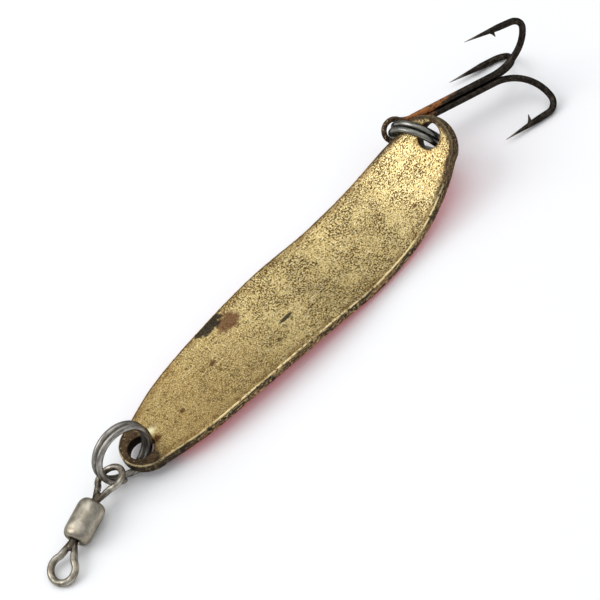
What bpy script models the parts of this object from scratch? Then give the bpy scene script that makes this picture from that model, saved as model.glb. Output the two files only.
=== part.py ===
"""Casting spoon lure: a cupped metal blade with a split ring at each end, a barrel swivel and a treble hook.

The lure lies on its belly on a table at Z = 0. +X runs from the swivel to the hook, +Y is the blade's left
edge seen from the nose, +Z is up. Dimensions below are in millimetres and are scaled to metres as meshes are
made. Stations along the lure are counted from the centre of the nose hole; the last step centres the lure's
footprint on the origin.
"""

import math

import bmesh
import bpy
import numpy as np
from mathutils import Matrix, Vector

MM = 0.001

# Blade: a flat blank, pierced at both ends, cupped across and bent along the spine curve.
BLADE_THICKNESS = 2.1
BLADE_EDGE_ROUND = 0.35
NOSE_TIP = -3.75
NOSE_ROUND = 5.3
TAIL_ROUND = 6.9
HOLE_RADIUS = 2.4
TAIL_HOLE_TO_TIP = 3.55
CUP_DEPTH = 0.85
CUP_FADE = 20.0
# The upper face's centre line, as (station, height).
SPINE = ((NOSE_TIP, 3.80), (10.0, 4.05), (24.0, 4.05), (38.0, 3.45), (52.0, 2.05), (63.4, 3.2), (71.8, 6.65),
         (77.0, 9.7), (80.2, 12.85))
# Half width of the blank between the end arcs, as (distance along the spine from the nose tip, half width).
FLANK = ((5.0, 5.35), (13.5, 7.66), (26.9, 9.18), (42.1, 10.15), (55.5, 10.2), (67.3, 9.55), (76.4, 8.05),
         (81.8, 6.4))
BLADE_LENGTH_STEP = 1.6
BLADE_WIDTH_STEP = 2.3

# Split rings: the same spring ring at both ends, two turns of round wire with a jog between the layers.
RING_RADIUS = 5.3
RING_WIRE = 1.2
RING_LAYER_GAP = 0.06
RING_JOG = 20.0
RING_STEPS = 56

# Barrel swivel.
SWIVEL_WIRE = 1.15
SWIVEL_LOOP_RADIUS = 2.4
LINE_EYE_REACH = 9.0
RING_EYE_REACH = 8.8
LINE_EYE_LEAN = math.radians(5)
LINE_EYE_DROP = math.radians(-7)
RING_EYE_LEAN = math.radians(-3)
RING_EYE_DROP = math.radians(-2)
NECK_RADIUS = 0.75
BARREL_LENGTH = 7.6
BARREL_RADIUS = 2.55
BARREL_WALL = 0.45
MOUTH_RADIUS = 1.1
HEAD_RADIUS = 1.65

# Treble hook: one wire bent into two hooks with the eye between them, and a third hook brazed on.
HOOK_WIRE = 1.28
HOOK_WIRE_GAP = 0.12
HOOK_EYE_RADIUS = 2.1
HOOK_EYE_WIRE_SHARE = 0.8
SHANK_END = 21.1
GAPE_ARC = 8.0
GAPE_TURN = math.radians(86)
POINT_ARC = 2.4
POINT_FLARE = math.radians(3.3)
POINT_LENGTH = 9.7
POINT_TAPER = 7.2
BARB_FROM_TIP = 6.0
BARB_HEIGHT = 1.75
SINGLE_SHANK_START = 5.2
BRAZE_LENGTH = 2.3

# Each hook's turn about the shank, and how far its bend is sprung open.
UP_HOOK = (math.radians(87), math.radians(-1.0))
LEFT_HOOK = (math.radians(-29), math.radians(3.0))
RIGHT_HOOK = (math.radians(209.5), math.radians(-1.8))

WIRE_SIDES = 8

# Where each piece lies at rest, in the blade's frame. A ring's start is the angle of its free ends (degrees).
NOSE_RING_CENTRE = (-3.42, 0.2, 6.05)
NOSE_RING_NORMAL = (-0.043, -0.996, 0.078)
NOSE_RING_START = 88.0
TAIL_RING_CENTRE = (78.17, 4.01, 6.27)
TAIL_RING_NORMAL = (0.9286, 0.2378, 0.285)
TAIL_RING_START = 250.0
SWIVEL_CENTRE = (-16.27, -2.28, 2.9)
SWIVEL_AXIS = (-0.9555, -0.27, -0.115)
RING_EYE_UP = (-0.171, 0.192, 0.966)
HOOK_EYE = (76.77, 8.73, 7.78)
HOOK_YAW = -17.8
HOOK_PITCH = -3.8

# Joint centres. The nose ring swings about the strip of blade that it is threaded round. The tail ring slides
# round through its hole, so its centre of turn lies between its own centre and the strip.
NOSE_STRIP = (-3.08, 0.0, 2.8)
TAIL_TURN = (78.27, 3.58, 6.65)


def clear_scene():
    for item in list(bpy.data.objects):
        bpy.data.objects.remove(item, do_unlink=True)


def unit(vector):
    vector = np.asarray(vector, float)
    return vector / np.linalg.norm(vector)


def smooth_path(knots, samples):
    """A centripetal Catmull-Rom curve through the knots, as an array of points."""
    knots = np.asarray(knots, float)
    ends = np.vstack([2 * knots[0] - knots[1], knots, 2 * knots[-1] - knots[-2]])
    points = []
    for a, b, c, d in zip(ends, ends[1:], ends[2:], ends[3:]):
        t = np.cumsum([0.0] + [math.sqrt(np.linalg.norm(q - p)) for p, q in ((a, b), (b, c), (c, d))])
        for u in np.linspace(t[1], t[2], samples, endpoint=False):
            ab = (t[1] - u) / (t[1] - t[0]) * a + (u - t[0]) / (t[1] - t[0]) * b
            bc = (t[2] - u) / (t[2] - t[1]) * b + (u - t[1]) / (t[2] - t[1]) * c
            cd = (t[3] - u) / (t[3] - t[2]) * c + (u - t[2]) / (t[3] - t[2]) * d
            left = (t[2] - u) / (t[2] - t[0]) * ab + (u - t[0]) / (t[2] - t[0]) * bc
            right = (t[3] - u) / (t[3] - t[1]) * bc + (u - t[1]) / (t[3] - t[1]) * cd
            points.append((t[2] - u) / (t[2] - t[1]) * left + (u - t[1]) / (t[2] - t[1]) * right)
    points.append(knots[-1])
    return np.array(points)


def from_axes(origin, x, y, z):
    matrix = Matrix(((x[0], y[0], z[0], 0), (x[1], y[1], z[1], 0), (x[2], y[2], z[2], 0), (0, 0, 0, 1)))
    matrix.translation = Vector(origin) * MM
    return matrix


def placed(origin, along, up):
    """A matrix whose X axis is along and whose Z axis is up, squared to it. The origin is in millimetres."""
    x = unit(along)
    y = unit(np.cross(up, x))
    return from_axes(origin, x, y, np.cross(x, y))


def facing(origin, normal, toward):
    """A matrix whose Z axis is the normal and whose X axis is toward, squared to it."""
    z = unit(normal)
    y = unit(np.cross(z, toward))
    return from_axes(origin, np.cross(y, z), y, z)


def material(name, colour, metallic, roughness):
    made = bpy.data.materials.new(name)
    made.use_nodes = True
    shader = made.node_tree.nodes["Principled BSDF"]
    shader.inputs["Base Color"].default_value = (*colour, 1)
    shader.inputs["Metallic"].default_value = metallic
    shader.inputs["Roughness"].default_value = roughness
    return made


def empty(name, matrix, parent=None):
    made = bpy.data.objects.new(name, None)
    made.empty_display_size = 2 * MM
    bpy.context.scene.collection.objects.link(made)
    made.parent = parent
    made.matrix_world = matrix
    return made


def put(name, mesh, finish, matrix, parent):
    made = bpy.data.objects.new(name, mesh)
    bpy.context.scene.collection.objects.link(made)
    made.parent = parent
    made.matrix_world = matrix
    mesh.materials.clear()
    mesh.materials.append(finish)
    mesh.shade_smooth()
    mesh.set_sharp_from_angle(angle=math.radians(40))
    return made


def evaluated_mesh(made):
    """The closed mesh of a temporary object, which is then removed."""
    bpy.context.view_layer.update()
    graph = bpy.context.evaluated_depsgraph_get()
    mesh = bpy.data.meshes.new_from_object(made.evaluated_get(graph))
    bpy.data.objects.remove(made, do_unlink=True)
    shape = bmesh.new()
    shape.from_mesh(mesh)
    bmesh.ops.remove_doubles(shape, verts=shape.verts, dist=2e-6)
    bmesh.ops.recalc_face_normals(shape, faces=shape.faces)
    shape.to_mesh(mesh)
    shape.free()
    return mesh


def wire_mesh(points, radius, taper=None):
    """A round wire along the points (millimetres); taper is the radius at each point as a share of radius."""
    curve = bpy.data.curves.new("wire", "CURVE")
    curve.dimensions = "3D"
    curve.bevel_depth = radius * MM
    curve.bevel_resolution = WIRE_SIDES // 2 - 2
    curve.use_fill_caps = True
    spline = curve.splines.new("POLY")
    spline.points.add(len(points) - 1)
    for index, point in enumerate(points):
        spline.points[index].co = (*(Vector(point) * MM), 1)
        spline.points[index].radius = 1.0 if taper is None else taper[index]
    made = bpy.data.objects.new("wire", curve)
    bpy.context.scene.collection.objects.link(made)
    return evaluated_mesh(made)


def turned_mesh(profile, segments):
    """A profile of (x, radius) in millimetres, turned about X. It ends on the axis or closes on itself."""
    shape = bmesh.new()
    ring = [shape.verts.new((x * MM, radius * MM, 0)) for x, radius in profile]
    ends = ring[1:] if profile[0][1] == 0 else ring[1:] + ring[:1]
    edges = [shape.edges.new(pair) for pair in zip(ring, ends)]
    bmesh.ops.spin(shape, geom=ring + edges, cent=(0, 0, 0), axis=(1, 0, 0), angle=math.tau, steps=segments)
    bmesh.ops.remove_doubles(shape, verts=shape.verts, dist=2e-6)
    bmesh.ops.recalc_face_normals(shape, faces=shape.faces)
    mesh = bpy.data.meshes.new("turned")
    shape.to_mesh(mesh)
    shape.free()
    return mesh


def joined(base, *others):
    """The Boolean union of the meshes."""
    body = bpy.data.objects.new("union", base)
    bpy.context.scene.collection.objects.link(body)
    helpers = []
    for other in others:
        helper = bpy.data.objects.new("union_helper", other)
        bpy.context.scene.collection.objects.link(helper)
        union = body.modifiers.new("union", "BOOLEAN")
        union.operation = "UNION"
        union.use_self = True
        union.object = helper
        helpers.append(helper)
    mesh = evaluated_mesh(body)
    for helper in helpers:
        bpy.data.objects.remove(helper, do_unlink=True)
    return mesh


# ---------------------------------------------------------------- blade

def spine_curve():
    """The spine as (arc length from the nose tip, point, slope angle) arrays."""
    points = smooth_path(SPINE, 24)
    steps = np.linalg.norm(np.diff(points, axis=0), axis=1)
    arc = np.concatenate([[0.0], np.cumsum(steps)])
    slope = np.arctan2(np.gradient(points[:, 1], arc), np.gradient(points[:, 0], arc))
    return arc, points, slope


ARC, SPINE_POINTS, SPINE_SLOPE = spine_curve()
BLADE_LENGTH = float(ARC[-1])
NOSE_HOLE = -NOSE_TIP
TAIL_HOLE = BLADE_LENGTH - TAIL_HOLE_TO_TIP


def spine_at(distance):
    x = np.interp(distance, ARC, SPINE_POINTS[:, 0])
    z = np.interp(distance, ARC, SPINE_POINTS[:, 1])
    return x, z, np.interp(distance, ARC, SPINE_SLOPE)


def cup_at(distance):
    """The cup's depth fades out towards both ends."""
    from_end = min(distance, BLADE_LENGTH - distance)
    share = min(max(from_end / CUP_FADE, 0.0), 1.0)
    return CUP_DEPTH * (0.25 + 0.75 * share * share * (3 - 2 * share))


def flank_width():
    points = smooth_path(FLANK, 8)
    return points[:, 0], points[:, 1]


def blade_outline():
    """The blank's outline as (distance, half width): a round nose, the two flanks and a round tail."""
    along, width = flank_width()
    nose_angle = math.pi - math.acos((NOSE_ROUND - along[0]) / NOSE_ROUND)
    tail_angle = math.asin(min(width[-1] / TAIL_ROUND, 1.0))
    nose = [(NOSE_ROUND + NOSE_ROUND * math.cos(a), NOSE_ROUND * math.sin(a))
            for a in np.linspace(math.pi, nose_angle, 9)]
    tail_centre = BLADE_LENGTH - TAIL_ROUND
    tail = [(tail_centre + TAIL_ROUND * math.cos(a), TAIL_ROUND * math.sin(a))
            for a in np.linspace(tail_angle, 0.0, 10)]
    side = nose[:-1] + list(zip(along[1:-1], width[1:-1])) + tail[1:]
    return side + [(u, -w) for u, w in reversed(side[1:-1])]


def circle(centre, radius, steps):
    return [(centre + radius * math.cos(a), radius * math.sin(a))
            for a in np.linspace(0, math.tau, steps, endpoint=False)]


def flat_blank():
    """The pierced blank with rounded rims, standing on its lower face at height 0."""
    curve = bpy.data.curves.new("blank", "CURVE")
    curve.dimensions = "2D"
    curve.fill_mode = "BOTH"
    curve.bevel_depth = BLADE_EDGE_ROUND * MM
    curve.offset = -BLADE_EDGE_ROUND * MM
    curve.extrude = (BLADE_THICKNESS / 2 - BLADE_EDGE_ROUND) * MM
    curve.bevel_resolution = 1
    for loop in (blade_outline(), circle(NOSE_HOLE, HOLE_RADIUS, 20), circle(TAIL_HOLE, HOLE_RADIUS, 20)):
        spline = curve.splines.new("POLY")
        spline.points.add(len(loop) - 1)
        spline.use_cyclic_u = True
        for index, (u, v) in enumerate(loop):
            spline.points[index].co = (u * MM, v * MM, 0, 1)
    made = bpy.data.objects.new("blank", curve)
    bpy.context.scene.collection.objects.link(made)
    return evaluated_mesh(made)


def bent(u, v, h):
    """A blank point (along, across, height above the lower face) on the cupped and bent blade."""
    x, z, slope = spine_at(u)
    half = 10.2
    lift = h - BLADE_THICKNESS + cup_at(u) * (v / half) ** 2
    return Vector((x - lift * math.sin(slope), v, max(z + lift * math.cos(slope), 0.0)))


def blade_mesh():
    mesh = flat_blank()
    shape = bmesh.new()
    shape.from_mesh(mesh)
    bmesh.ops.dissolve_limit(shape, angle_limit=math.radians(1), verts=shape.verts, edges=shape.edges)
    cuts = ((0, 1.0, BLADE_LENGTH - 1.0, BLADE_LENGTH_STEP), (1, -9.2, 9.3, BLADE_WIDTH_STEP))
    for axis, low, high, step in cuts:
        normal = Vector((1, 0, 0)) if axis == 0 else Vector((0, 1, 0))
        for cut in np.arange(low, high, step):
            geometry = shape.verts[:] + shape.edges[:] + shape.faces[:]
            place = normal * cut * MM
            bmesh.ops.bisect_plane(shape, geom=geometry, plane_co=place, plane_no=normal, dist=1e-6)
    bmesh.ops.triangulate(shape, faces=shape.faces)
    for vertex in shape.verts:
        u, v, h = (value / MM for value in vertex.co)
        vertex.co = bent(u, v, h + BLADE_THICKNESS / 2) * MM
    bmesh.ops.remove_doubles(shape, verts=shape.verts, dist=2e-6)
    bmesh.ops.recalc_face_normals(shape, faces=shape.faces)
    shape.to_mesh(mesh)
    shape.free()
    return mesh


# ---------------------------------------------------------------- wire pieces

def split_ring_mesh(start_angle):
    """Two turns in the local XY plane. The free ends lie RING_JOG degrees each side of start_angle."""
    layer = (RING_WIRE + RING_LAYER_GAP) / 2
    points = []
    for turn in np.linspace(RING_JOG, 720 - RING_JOG, RING_STEPS):
        across = (turn - 360) / RING_JOG
        share = min(max((across + 1) / 2, 0.0), 1.0)
        height = layer * (2 * share * share * (3 - 2 * share) - 1)
        angle = math.radians(start_angle + turn)
        points.append((RING_RADIUS * math.cos(angle), RING_RADIUS * math.sin(angle), height))
    return wire_mesh(points, RING_WIRE / 2)


def swivel_eye_mesh(reach, lean, drop):
    """A wire eye in the local XY plane. Its two wire ends run down the X axis, through the neck, into a head.

    From the mouth of the barrel outwards the loop leans in its own plane, and drops out of it.
    """
    mouth = BARREL_LENGTH / 2
    turn_in = math.radians(40)
    loop = [(reach - SWIVEL_LOOP_RADIUS * math.cos(a), SWIVEL_LOOP_RADIUS * math.sin(a), 0)
            for a in np.linspace(turn_in, math.tau - turn_in, 24)]
    lead = smooth_path([(mouth - 0.6, 0.3, 0), (mouth + 0.4, 0.42, 0), loop[0], loop[1]], 5)[:-6]
    points = np.vstack([lead, loop, (lead * (1, -1, 1))[::-1]])
    past_mouth = np.maximum(points[:, 0] - mouth - 0.2, 0)
    points[:, 1] += math.tan(lean) * past_mouth
    points[:, 2] += math.tan(drop) * past_mouth
    shares = [0.72 + 0.28 * min(max((x - mouth - 0.3) / 2, 0.0), 1.0) for x in points[:, 0]]
    wire = wire_mesh(points, SWIVEL_WIRE / 2, shares)
    head = turned_mesh([(0.9, 0.0), (0.9, 1.2), (1.2, HEAD_RADIUS), (1.9, HEAD_RADIUS), (2.4, NECK_RADIUS),
                        (mouth + 0.45, NECK_RADIUS), (mouth + 0.75, 0.5), (mouth + 0.75, 0.0)], 16)
    return joined(head, wire)


def barrel_mesh():
    half = BARREL_LENGTH / 2
    inner = BARREL_RADIUS - BARREL_WALL
    shoulder = [(half - 1.7 + 1.7 * math.sin(a), BARREL_RADIUS - 1.05 + 1.05 * math.cos(a))
                for a in np.linspace(0, math.pi / 2, 6)]
    right = shoulder + [(half, MOUTH_RADIUS), (half - 0.7, MOUTH_RADIUS), (half - 1.1, inner)]
    left = [(-x, radius) for x, radius in reversed(right)]
    return turned_mesh(right + left, 24)


def hook_profile(opening):
    """One hook as (along the shank, away from its axis) points: its wide arc, its tight arc and its point."""
    spread = (HOOK_WIRE + HOOK_WIRE_GAP) / math.sqrt(3)
    wide = [(GAPE_ARC * math.sin(a), GAPE_ARC * (1 - math.cos(a))) for a in np.linspace(0, GAPE_TURN, 10)]
    along = (GAPE_ARC - POINT_ARC) * math.sin(GAPE_TURN)
    away = GAPE_ARC - (GAPE_ARC - POINT_ARC) * math.cos(GAPE_TURN)
    tight = [(along + POINT_ARC * math.sin(a), away - POINT_ARC * math.cos(a))
             for a in np.linspace(GAPE_TURN, math.pi - POINT_FLARE, 7)[1:]]
    start = tight[-1]
    leg = [(start[0] - s * math.cos(POINT_FLARE), start[1] + s * math.sin(POINT_FLARE))
           for s in np.linspace(0, POINT_LENGTH, 8)[1:]]
    turn = np.array([[math.cos(opening), -math.sin(opening)], [math.sin(opening), math.cos(opening)]])
    return [np.array(part) @ turn.T + (SHANK_END, spread) for part in (wide, tight, leg)]


def out_from_shank(azimuth):
    return np.array([0.0, math.cos(azimuth), math.sin(azimuth)])


def hook_side(hook):
    """One hook from the shank's end to its point, as points and as wire radius shares."""
    azimuth, opening = hook
    wide, tight, leg = hook_profile(opening)
    profile = np.vstack([wide, tight, leg])
    points = profile[:, :1] * (1, 0, 0) + profile[:, 1:] * out_from_shank(azimuth)
    to_tip = np.linalg.norm(leg - leg[-1], axis=1)
    shares = [1.0] * (len(wide) + len(tight)) + [min(0.08 + 0.92 * d / POINT_TAPER, 1.0) for d in to_tip]
    return points, shares


def barb_mesh(hook):
    """A thin cut barb on the inner side of the point, leaning back towards the bend."""
    azimuth, opening = hook
    leg = hook_profile(opening)[2]
    back = unit(leg[0] - leg[-1])
    inward = np.array([back[1], -back[0]])
    out = out_from_shank(azimuth)
    across = np.cross((1, 0, 0), out)

    def corner(from_tip, depth, aside):
        along, away = leg[-1] + back * from_tip + inward * depth
        return tuple((np.array([along, 0, 0]) + away * out + aside * across) * MM)

    shape = bmesh.new()
    root = ((-1.4, -0.28), (-1.4, 0.28), (0.1, 0.28), (0.1, -0.28))
    edge = ((0.3, -0.06), (0.3, 0.06), (0.45, 0.06), (0.45, -0.06))
    low = [shape.verts.new(corner(BARB_FROM_TIP + shift, 0.1, aside)) for shift, aside in root]
    high = [shape.verts.new(corner(BARB_FROM_TIP + shift, BARB_HEIGHT, aside)) for shift, aside in edge]
    shape.faces.new(low)
    shape.faces.new(high[::-1])
    for index in range(4):
        after = (index + 1) % 4
        shape.faces.new((low[index], high[index], high[after], low[after]))
    bmesh.ops.recalc_face_normals(shape, faces=shape.faces)
    mesh = bpy.data.meshes.new("barb")
    shape.to_mesh(mesh)
    shape.free()
    return mesh


def double_hook_mesh():
    """The wire from one point round the eye to the other. Local X is the shank, the eye is at the origin."""
    spread = (HOOK_WIRE + HOOK_WIRE_GAP) / math.sqrt(3)
    half_pitch = (HOOK_WIRE + HOOK_WIRE_GAP) / 2
    middle = (UP_HOOK[0] + RIGHT_HOOK[0]) / 2
    out = out_from_shank(middle)
    across = np.cross((1, 0, 0), out)

    def eye_point(along, aside):
        return np.array([along, 0, 0]) + out * spread / 2 - across * aside

    turn_in = math.radians(42)
    loop = [eye_point(HOOK_EYE_RADIUS * math.cos(a), HOOK_EYE_RADIUS * math.sin(a))
            for a in np.linspace(turn_in, math.tau - turn_in, 20)]
    shank = [
        eye_point(SHANK_END - 6, half_pitch),
        eye_point(4.4, half_pitch),
        eye_point(3.2, half_pitch + 0.08),
    ]
    lead = smooth_path([*shank, loop[0], loop[1]], 4)[:-5]
    shank = [
        eye_point(SHANK_END - 6, -half_pitch),
        eye_point(4.4, -half_pitch),
        eye_point(3.2, -half_pitch - 0.08),
    ]
    tail = smooth_path([*shank, loop[-1], loop[-2]], 4)[:-5][::-1]
    first_side, first_share = hook_side(UP_HOOK)
    second_side, second_share = hook_side(RIGHT_HOOK)
    middle_points = np.vstack([lead, loop, tail])
    eye_share = [HOOK_EYE_WIRE_SHARE + (1 - HOOK_EYE_WIRE_SHARE) * min(max((x - 2.5) / 3, 0.0), 1.0)
                 for x in middle_points[:, 0]]
    points = np.vstack([first_side[::-1], middle_points, second_side])
    shares = first_share[::-1] + eye_share + second_share
    return joined(wire_mesh(points, HOOK_WIRE / 2, shares), barb_mesh(UP_HOOK), barb_mesh(RIGHT_HOOK))


def single_hook_mesh():
    side, share = hook_side(LEFT_HOOK)
    start = side[0] - np.array([SHANK_END - SINGLE_SHANK_START, 0, 0])
    points = np.vstack([start, (start + side[0]) / 2, side])
    return joined(wire_mesh(points, HOOK_WIRE / 2, [1.0, 1.0] + share), barb_mesh(LEFT_HOOK))


def braze_mesh():
    """The tapered bead of braze in the valley between the two shanks, in front of the third shank's end."""
    spread = (HOOK_WIRE + HOOK_WIRE_GAP) / math.sqrt(3)
    side = out_from_shank(LEFT_HOOK[0])
    end = SINGLE_SHANK_START - 0.2
    points = [np.array([end - s, 0, 0]) + (spread + 0.05) * side for s in np.linspace(0, BRAZE_LENGTH, 6)]
    shares = [1.0, 1.0, 0.95, 0.82, 0.6, 0.3]
    return wire_mesh([tuple(p) for p in points], 0.48, shares)


# ---------------------------------------------------------------- assembly

def footprint_centre(objects):
    corners = np.array([made.matrix_world @ vertex.co for made in objects for vertex in made.data.vertices])
    middle = (corners.min(axis=0) + corners.max(axis=0)) / 2
    return Vector((middle[0], middle[1], 0))


def pivot(name, centre, matrix, root):
    """An empty at the joint's centre, turned as the matrix is."""
    turned = matrix.copy()
    turned.translation = Vector(centre) * MM
    return empty(name, turned, root)


def main():
    clear_scene()
    brass = material("worn_brass", (0.42, 0.32, 0.14), 1.0, 0.42)
    spring_steel = material("dull_nickel", (0.36, 0.35, 0.33), 1.0, 0.4)
    nickel = material("satin_nickel", (0.47, 0.44, 0.40), 1.0, 0.35)
    bronze = material("blackened_bronze", (0.045, 0.04, 0.036), 0.8, 0.5)
    braze = material("brass_braze", (0.42, 0.2, 0.09), 0.9, 0.5)

    root = empty("lure", Matrix.Identity(4))
    made = [put("spoon_blade", blade_mesh(), brass, Matrix.Identity(4), root)]

    ring = facing(NOSE_RING_CENTRE, NOSE_RING_NORMAL, (-1, 0, 0))
    nose_pivot = pivot("nose_ring_pivot", NOSE_STRIP, ring, root)
    made.append(put("nose_split_ring", split_ring_mesh(NOSE_RING_START), spring_steel, ring, nose_pivot))

    outward = unit(SWIVEL_AXIS)
    frame = placed(SWIVEL_CENTRE, -outward, RING_EYE_UP)
    eye_centre = frame @ (Vector((RING_EYE_REACH, 0, 0)) * MM) / MM
    swivel_pivot = pivot("swivel_pivot", eye_centre, frame, nose_pivot)
    ring_eye = swivel_eye_mesh(RING_EYE_REACH, RING_EYE_LEAN, RING_EYE_DROP)
    made.append(put("swivel_ring_eye", ring_eye, nickel, frame, swivel_pivot))
    frame = placed(SWIVEL_CENTRE, outward, (0, 0, 1))
    made.append(put("swivel_barrel", barrel_mesh(), nickel, frame, swivel_pivot))
    line_eye = swivel_eye_mesh(LINE_EYE_REACH, LINE_EYE_LEAN, LINE_EYE_DROP)
    made.append(put("swivel_line_eye", line_eye, nickel, frame, made[-1]))

    ring = facing(TAIL_RING_CENTRE, TAIL_RING_NORMAL, (0, 1, 0))
    tail_pivot = pivot("tail_ring_pivot", TAIL_TURN, ring, root)
    made.append(put("tail_split_ring", split_ring_mesh(TAIL_RING_START), spring_steel, ring, tail_pivot))

    yaw, pitch = math.radians(HOOK_YAW), math.radians(HOOK_PITCH)
    shank = (math.cos(yaw) * math.cos(pitch), math.sin(yaw) * math.cos(pitch), math.sin(pitch))
    frame = placed(HOOK_EYE, shank, (0, 0, 1))
    hook = empty("treble_hook", frame, tail_pivot)
    made.append(put("hook_double", double_hook_mesh(), bronze, frame, hook))
    made.append(put("hook_single", single_hook_mesh(), bronze, frame, hook))
    made.append(put("hook_braze", braze_mesh(), braze, frame, hook))

    bpy.context.view_layer.update()
    root.location = -footprint_centre(made)


main()
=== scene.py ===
"""Looks of the casting spoon lure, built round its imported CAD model.

Every piece is rebuilt finer than its CAD node, in the same place and to the same dimensions, except that
the wires of the swivel's eyes are slightly thicker and their necks longer. The blade is worn gold with dark
patina and a red painted belly, the split rings and the barrel swivel are dull nickel, and the treble hook is
black with a rusted shank. Lengths below are in millimetres. The spine is given from the nose hole,
everything else on the blade from its nose tip.
"""

import math

import bmesh
import bpy
import numpy as np
from mathutils import Matrix, Vector, noise


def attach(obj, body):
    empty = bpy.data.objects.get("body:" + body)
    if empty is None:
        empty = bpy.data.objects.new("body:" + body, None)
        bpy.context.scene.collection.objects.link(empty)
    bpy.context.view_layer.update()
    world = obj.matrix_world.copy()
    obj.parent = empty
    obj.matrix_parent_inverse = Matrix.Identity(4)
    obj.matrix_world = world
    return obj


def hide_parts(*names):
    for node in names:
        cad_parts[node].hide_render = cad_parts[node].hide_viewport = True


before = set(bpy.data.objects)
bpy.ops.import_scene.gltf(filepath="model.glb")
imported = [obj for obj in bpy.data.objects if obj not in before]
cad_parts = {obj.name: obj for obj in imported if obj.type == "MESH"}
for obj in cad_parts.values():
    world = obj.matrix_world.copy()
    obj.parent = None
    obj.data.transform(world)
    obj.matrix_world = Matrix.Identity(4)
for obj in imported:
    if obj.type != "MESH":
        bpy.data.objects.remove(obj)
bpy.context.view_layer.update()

MM = 0.001
# Vertices closer than this, in metres, are one vertex; faces that meet at more than this angle show an edge.
MERGE_DISTANCE = 2e-6
EDGE_ANGLE = math.radians(50)
# The foot of the nose hole's centre line, in the row frame.
LURE_ORIGIN = (-39.6224, -1.4182, 0.0)

# Blade. The spine is (station, height) from the nose hole.
# The flank is (station, half width) from the nose tip.
BLADE_THICKNESS = 2.1
RIM_ROUND = 0.35
NOSE_TIP = -3.75
NOSE_ROUND = 5.3
TAIL_ROUND = 6.9
HOLE_RADIUS = 2.4
HOLE_LIP = 0.3
TAIL_HOLE_TO_TIP = 3.55
CUP_DEPTH = 0.85
CUP_FADE = 20.0
CUP_HALF_WIDTH = 10.2
SPINE = ((NOSE_TIP, 3.80), (10.0, 4.05), (24.0, 4.05), (38.0, 3.45), (52.0, 2.05), (63.4, 3.2), (71.8, 6.65),
         (77.0, 9.7), (80.2, 12.85))
FLANK = ((5.0, 5.35), (13.5, 7.66), (26.9, 9.18), (42.1, 10.15), (55.5, 10.2), (67.3, 9.55), (76.4, 8.05),
         (81.8, 6.4))

# Split rings, both alike: two turns of round wire.
RING_RADIUS = 5.3
RING_WIRE = 1.2
RING_LAYER_GAP = 0.06
RING_JOG = 20.0
# The wire is thinner at its two free ends, over this many degrees.
RING_END_SHARE = 0.8
RING_END_TAPER = 5.0

# Barrel swivel. A dimple is (station on the barrel, angle round it).
RING_EYE_WIRE = 1.2
LINE_EYE_WIRE = 1.3
SWIVEL_LOOP_RADIUS = 2.4
NECK_RADIUS = 0.75
BARREL_LENGTH = 7.6
BARREL_RADIUS = 2.55
BARREL_WALL = 0.45
MOUTH_RADIUS = 1.1
HEAD_RADIUS = 1.65
EYE_TURN_IN = math.radians(40)
EYE_NECK_WIRE_SHARE = 0.72
SHOULDER_LENGTH = 1.7
SHOULDER_DEPTH = 1.05
FLATS = 6
FLAT_DEPTH = 0.025
DIMPLES = ((2.5, 1.75), (-2.5, 0.7), (2.3, -1.4), (-2.3, -2.4))
DIMPLE_DEPTH = 0.16
DIMPLE_ANGLE = 0.42
DIMPLE_LENGTH = 0.62

# Treble hook.
HOOK_WIRE = 1.28
HOOK_WIRE_GAP = 0.12
HOOK_EYE_RADIUS = 2.1
HOOK_EYE_WIRE_SHARE = 0.8
HOOK_EYE_TURN_IN = math.radians(42)
SHANK_END = 21.1
GAPE_ARC = 8.0
GAPE_TURN = math.radians(86)
POINT_ARC = 2.4
POINT_FLARE = math.radians(3.3)
POINT_LENGTH = 9.7
POINT_TAPER = 7.2
BARB_FROM_TIP = 6.0
BARB_HEIGHT = 1.75
SINGLE_SHANK_START = 5.2
BRAZE_LENGTH = 2.3
BRAZE_RADIUS = 0.48
# How far each wire's centre lies from the shank's axis.
WIRE_SPREAD = (HOOK_WIRE + HOOK_WIRE_GAP) / math.sqrt(3)
# Each hook's turn about the shank, and how far its bend is sprung open.
UP_HOOK = (math.radians(87), math.radians(-1.0))
LEFT_HOOK = (math.radians(-29), math.radians(3.0))
RIGHT_HOOK = (math.radians(209.5), math.radians(-1.8))

# Where each piece lies, in the blade's frame. A ring's start is the angle of its free ends, in degrees.
NOSE_RING_CENTRE = (-3.42, 0.2, 6.05)
NOSE_RING_NORMAL = (-0.043, -0.996, 0.078)
NOSE_RING_START = 88.0
TAIL_RING_CENTRE = (78.17, 4.01, 6.27)
TAIL_RING_NORMAL = (0.9286, 0.2378, 0.285)
TAIL_RING_START = 250.0
SWIVEL_CENTRE = (-16.27, -2.28, 2.9)
SWIVEL_AXIS = (-0.9555, -0.27, -0.115)
RING_EYE_UP = (-0.171, 0.192, 0.966)
RING_EYE_REACH = 8.8
RING_EYE_LEAN = math.radians(-3)
RING_EYE_DROP = math.radians(-2)
LINE_EYE_REACH = 9.0
LINE_EYE_LEAN = math.radians(5)
LINE_EYE_DROP = math.radians(-7)
HOOK_EYE = (76.77, 8.73, 7.78)
HOOK_YAW = math.radians(-17.8)
HOOK_PITCH = math.radians(-3.8)


# ---------------------------------------------------------------- shapes

def unit(vector):
    vector = np.asarray(vector, float)
    return vector / np.linalg.norm(vector)


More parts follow.
